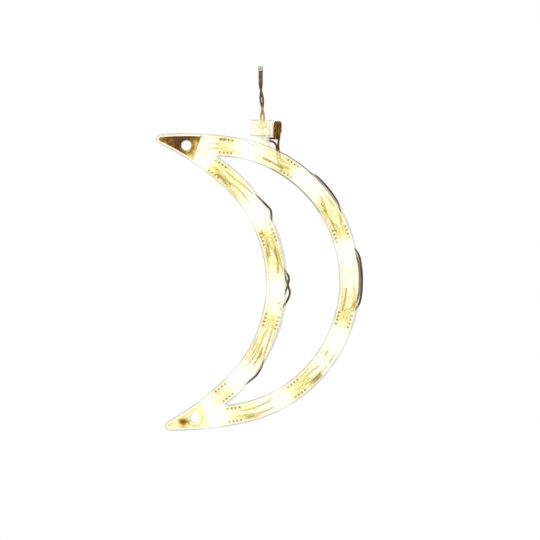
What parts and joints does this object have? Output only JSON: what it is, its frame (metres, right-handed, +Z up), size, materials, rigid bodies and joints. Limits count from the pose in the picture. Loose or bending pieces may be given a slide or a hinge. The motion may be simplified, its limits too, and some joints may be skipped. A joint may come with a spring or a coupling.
{
  "type": "lit crescent ornament",
  "caption": "Clear open-backed crescent channel that holds a string of small warm white lamps, with a capped neck and a twisted wire drop cord to hang it by.",
  "frame": {"origin": "middle of the sleeve on the upper end of the drop cord, from which the ornament hangs", "axes": "+Z up along the drop cord; +X to the viewer's right, towards the crescent's bulge; the front face looks along -Y"},
  "size_m": [0.1153, 0.0131, 0.2039],
  "materials": {
    "clear_channel": "clear moulded plastic, glossy",
    "clear_cap": "clear moulded plastic, glossy",
    "pale_sleeve": "pale shrink sleeve",
    "cord_wire": "brown PVC insulation, satin",
    "brown_wire": "brown PVC insulation, satin",
    "copper_wire": "brown translucent PVC over copper",
    "crimp": "translucent crimp sleeve",
    "tie": "pale plastic tie",
    "lens": "clear epoxy lens, lit warm white",
    "lead_metal": "tinned steel",
    "lamp_sleeve": "clear shrink sleeve"
  },
  "bodies": {
    "hanger": {"top_sleeve": "pale_sleeve"},
    "drop_cord": {"cord_wire_a": "cord_wire", "cord_wire_b": "cord_wire"},
    "cord_stop": {"cord_crimp": "crimp"},
    "crescent": {"crescent_frame": "clear_channel", "neck_cap": "clear_cap", "slack_coil": "brown_wire", "return_wire": "brown_wire", "slack_tie": "tie", "lamp_lens_01": "lens", "lamp_lens_02": "lens", "lamp_lens_03": "lens", "lamp_lens_04": "lens", "lamp_lens_05": "lens", "lamp_lens_06": "lens", "lamp_lens_07": "lens", "lamp_lens_08": "lens", "lamp_lens_09": "lens", "lamp_lens_10": "lens", "lamp_leads_01": "lead_metal", "lamp_leads_02": "lead_metal", "lamp_leads_03": "lead_metal", "lamp_leads_04": "lead_metal", "lamp_leads_05": "lead_metal", "lamp_leads_06": "lead_metal", "lamp_leads_07": "lead_metal", "lamp_leads_08": "lead_metal", "lamp_leads_09": "lead_metal", "lamp_leads_10": "lead_metal", "lamp_sleeve_01": "lamp_sleeve", "lamp_sleeve_02": "lamp_sleeve", "lamp_sleeve_03": "lamp_sleeve", "lamp_sleeve_04": "lamp_sleeve", "lamp_sleeve_05": "lamp_sleeve", "lamp_sleeve_06": "lamp_sleeve", "lamp_sleeve_07": "lamp_sleeve", "lamp_sleeve_08": "lamp_sleeve", "lamp_sleeve_09": "lamp_sleeve", "lamp_sleeve_10": "lamp_sleeve", "span_wires_01": "copper_wire", "span_wires_02": "copper_wire", "span_wires_03": "copper_wire", "span_wires_04": "copper_wire", "span_wires_05": "copper_wire", "span_wires_06": "copper_wire", "span_wires_07": "copper_wire", "span_wires_08": "copper_wire", "span_wires_09": "copper_wire"}
  },
  "joints": [
    {"name": "side_swing", "type": "hinge", "parent": "hanger", "child": "drop_cord", "pos_m": [0, 0, -0.0014], "axis": [0, 1, 0], "range_deg": [-45, 45], "deforming": ["cord_wire_a", "cord_wire_b"]},
    {"name": "fore_aft_swing", "type": "hinge", "parent": "drop_cord", "child": "cord_stop", "pos_m": [0.001, 0, -0.03015], "axis": [1, 0, 0], "range_deg": [-30, 30]},
    {"name": "twist", "type": "hinge", "parent": "cord_stop", "child": "crescent", "pos_m": [0.001, 0, -0.03015], "axis": [0, 0, 1], "range_deg": [-180, 180]}
  ]
}
